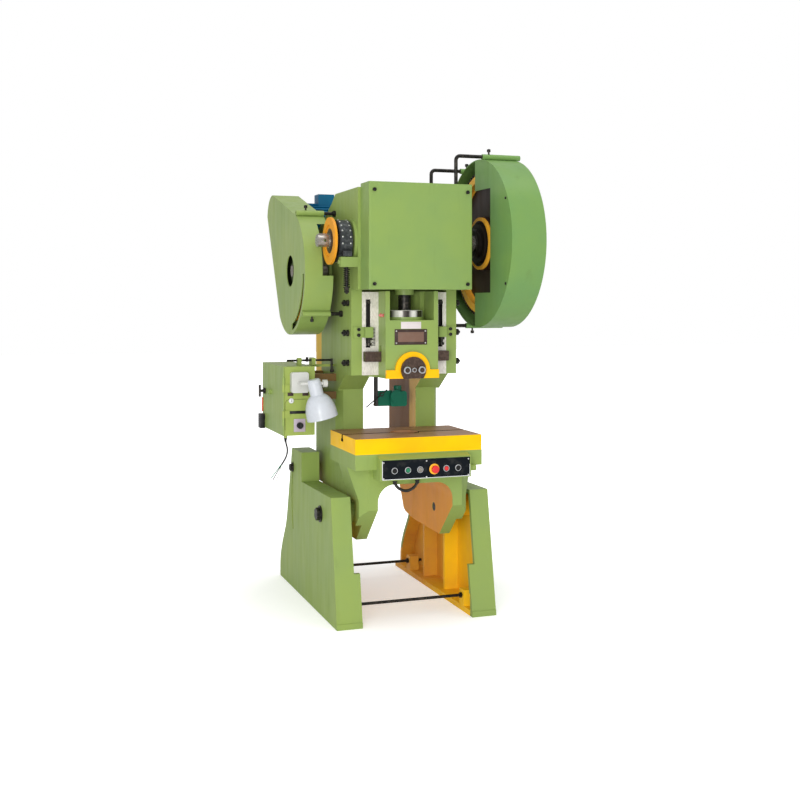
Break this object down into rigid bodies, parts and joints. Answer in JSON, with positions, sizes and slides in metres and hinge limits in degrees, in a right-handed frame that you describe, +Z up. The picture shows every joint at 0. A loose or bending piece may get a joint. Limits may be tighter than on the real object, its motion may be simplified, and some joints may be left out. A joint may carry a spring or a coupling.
{
  "type": "mechanical stamping press",
  "caption": "Open-back inclinable mechanical stamping press on cast legs, with a crank-driven slide, a T-slotted bolster, a side gear guard, a flywheel guard and an electrical cabinet.",
  "frame": {"origin": "on the floor, at the centre of the four anchor holes", "axes": "X to the right of someone facing the press, Y to its back, Z up"},
  "size_m": [1.306, 1.495, 2.507],
  "materials": {
    "green_paint": "satin",
    "yellow_paint": "satin",
    "blue_paint": "satin",
    "teal_paint": "satin",
    "steel": "satin",
    "dark_steel": "satin",
    "brown_steel": "satin",
    "greased_iron": "gloss",
    "black_iron": "satin",
    "rubber": "matte",
    "black_rubber": "matte",
    "black_panel": "satin",
    "black_plastic": "matte",
    "red_plastic": "gloss",
    "green_plastic": "gloss",
    "white_plastic": "gloss"
  },
  "bodies": {
    "stand": {"left_leg": "green_paint", "right_leg": "green_paint", "tie_rods": "dark_steel", "tie_nuts": "dark_steel", "pivot_bolts": "steel"},
    "frame": {"c_frame": "green_paint", "tilt_bolts": "steel", "bolster_plate": "greased_iron", "gib_bars": "steel", "gib_screws": "dark_steel", "stop_brackets": "green_paint", "stop_screws": "steel", "bearings": "green_paint", "brake_band": "black_iron", "brake_spring": "dark_steel", "brake_rod": "dark_steel", "drive_belts": "rubber", "motor": "blue_paint", "motor_bracket": "green_paint", "crank_cover": "green_paint", "cover_screws": "steel", "gear_guard": "green_paint", "flywheel_guard": "green_paint", "guard_bars": "dark_steel", "control_box": "green_paint", "control_panel": "black_panel", "control_conduit": "black_rubber", "cabinet": "green_paint", "mains_cable": "black_rubber", "lamp_base": "black_plastic", "oil_pump": "teal_paint"},
    "crank": {"crankshaft": "steel", "brake_drum": "black_iron", "cam_disc": "yellow_paint"},
    "conrod": {"connecting_rod": "green_paint", "adjusting_screw": "dark_steel"},
    "slide": {"slide_block": "green_paint", "seat_ring": "dark_steel", "die_clamp": "yellow_paint", "clamp_boss": "brown_steel"},
    "knockout": {"knockout_bar": "brown_steel"},
    "gear": {"bull_gear": "steel", "clutch_hub": "green_paint"},
    "drive": {"drive_shaft": "steel", "drive_pinion": "steel", "flywheel": "yellow_paint"},
    "rotor": {"motor_shaft": "steel", "motor_pulley": "black_iron"},
    "door": {"cabinet_door": "green_paint"},
    "handle": {"door_handle": "dark_steel"},
    "switch": {"main_switch": "black_plastic"},
    "left_push": {"left_button": "black_plastic"},
    "start_push": {"start_button": "green_plastic"},
    "stop_push": {"stop_button": "red_plastic"},
    "right_push": {"right_button": "black_plastic"},
    "stop_mushroom": {"emergency_button": "red_plastic"},
    "key": {"key_selector": "steel"},
    "shade": {"lamp_shade": "white_plastic"},
    "lever": {"pump_lever": "dark_steel"},
    "trip": {"trip_shaft": "dark_steel"}
  },
  "joints": [
    {"name": "frame_tilt", "type": "hinge", "parent": "stand", "child": "frame", "pos_m": [0, -0.3055, 0.54], "axis": [-1, 0, 0], "range_deg": [0, 30]},
    {"name": "crank_turn", "type": "hinge", "parent": "frame", "child": "crank", "pos_m": [0, -0.4055, 1.996], "axis": [-1, 0, 0], "range_deg": [0, 180]},
    {"name": "conrod_swing", "type": "hinge", "parent": "crank", "child": "conrod", "pos_m": [0, -0.4055, 2.036], "axis": [-1, 0, 0], "range_deg": [-180, 0]},
    {"name": "slide_stroke", "type": "slide", "parent": "frame", "child": "slide", "axis": [0, 0, 1], "range_m": [-0.0801, 0]},
    {"name": "knockout_lift", "type": "slide", "parent": "slide", "child": "knockout", "axis": [0, 0, 1], "range_m": [0, 0.03]},
    {"name": "gear_spin", "type": "hinge", "parent": "frame", "child": "gear", "pos_m": [0, -0.4055, 1.996], "axis": [-1, 0, 0], "continuous": true},
    {"name": "flywheel_spin", "type": "hinge", "parent": "frame", "child": "drive", "pos_m": [0, 0.03815, 1.847], "axis": [-1, 0, 0], "continuous": true},
    {"name": "motor_spin", "type": "hinge", "parent": "frame", "child": "rotor", "pos_m": [0, 0.4325, 2.16], "axis": [-1, 0, 0], "continuous": true},
    {"name": "door_swing", "type": "hinge", "parent": "frame", "child": "door", "pos_m": [-0.629, -0.2425, 1.14], "axis": [0, 0, 1], "range_deg": [0, 110]},
    {"name": "handle_turn", "type": "hinge", "parent": "door", "child": "handle", "pos_m": [-0.63, 0.2065, 1.166], "axis": [-1, 0, 0], "range_deg": [0, 90]},
    {"name": "switch_turn", "type": "hinge", "parent": "frame", "child": "switch", "pos_m": [-0.54, -0.2455, 1.01], "axis": [0, 1, 0], "range_deg": [0, 90]},
    {"name": "key_turn", "type": "hinge", "parent": "frame", "child": "key", "pos_m": [-0.023, -0.7055, 0.813], "axis": [0, 1, 0], "range_deg": [-45, 45]},
    {"name": "shade_tilt", "type": "hinge", "parent": "frame", "child": "shade", "pos_m": [-0.484, -0.3355, 1.24], "axis": [-1, 0, 0], "range_deg": [0, 60]},
    {"name": "lever_pump", "type": "hinge", "parent": "frame", "child": "lever", "pos_m": [-0.062, -0.1965, 1.16], "axis": [0, 1, 0], "range_deg": [-30, 20]},
    {"name": "trip_turn", "type": "hinge", "parent": "frame", "child": "trip", "pos_m": [-0.45, -0.1055, 1.352], "axis": [1, 0, 0], "range_deg": [-12, 12]},
    {"name": "left_press", "type": "slide", "parent": "frame", "child": "left_push", "axis": [0, 1, 0], "range_m": [0, 0.005], "stiffness_N_per_m": 900, "springref_m": -0.001},
    {"name": "start_press", "type": "slide", "parent": "frame", "child": "start_push", "axis": [0, 1, 0], "range_m": [0, 0.005], "stiffness_N_per_m": 900, "springref_m": -0.001},
    {"name": "stop_press", "type": "slide", "parent": "frame", "child": "stop_push", "axis": [0, 1, 0], "range_m": [0, 0.005], "stiffness_N_per_m": 900, "springref_m": -0.001},
    {"name": "right_press", "type": "slide", "parent": "frame", "child": "right_push", "axis": [0, 1, 0], "range_m": [0, 0.005], "stiffness_N_per_m": 900, "springref_m": -0.001},
    {"name": "mushroom_press", "type": "slide", "parent": "frame", "child": "stop_mushroom", "axis": [0, 1, 0], "range_m": [0, 0.005], "stiffness_N_per_m": 900, "springref_m": -0.001}
  ],
  "couplings": [
    {"joint": "conrod_swing", "follows": "crank_turn", "ratio": -1},
    {"joint": "slide_stroke", "follows": "crank_turn", "m_per_rad": -0.025465},
    {"joint": "flywheel_spin", "follows": "gear_spin", "ratio": -5.8824},
    {"joint": "motor_spin", "follows": "gear_spin", "ratio": -26.565}
  ]
}
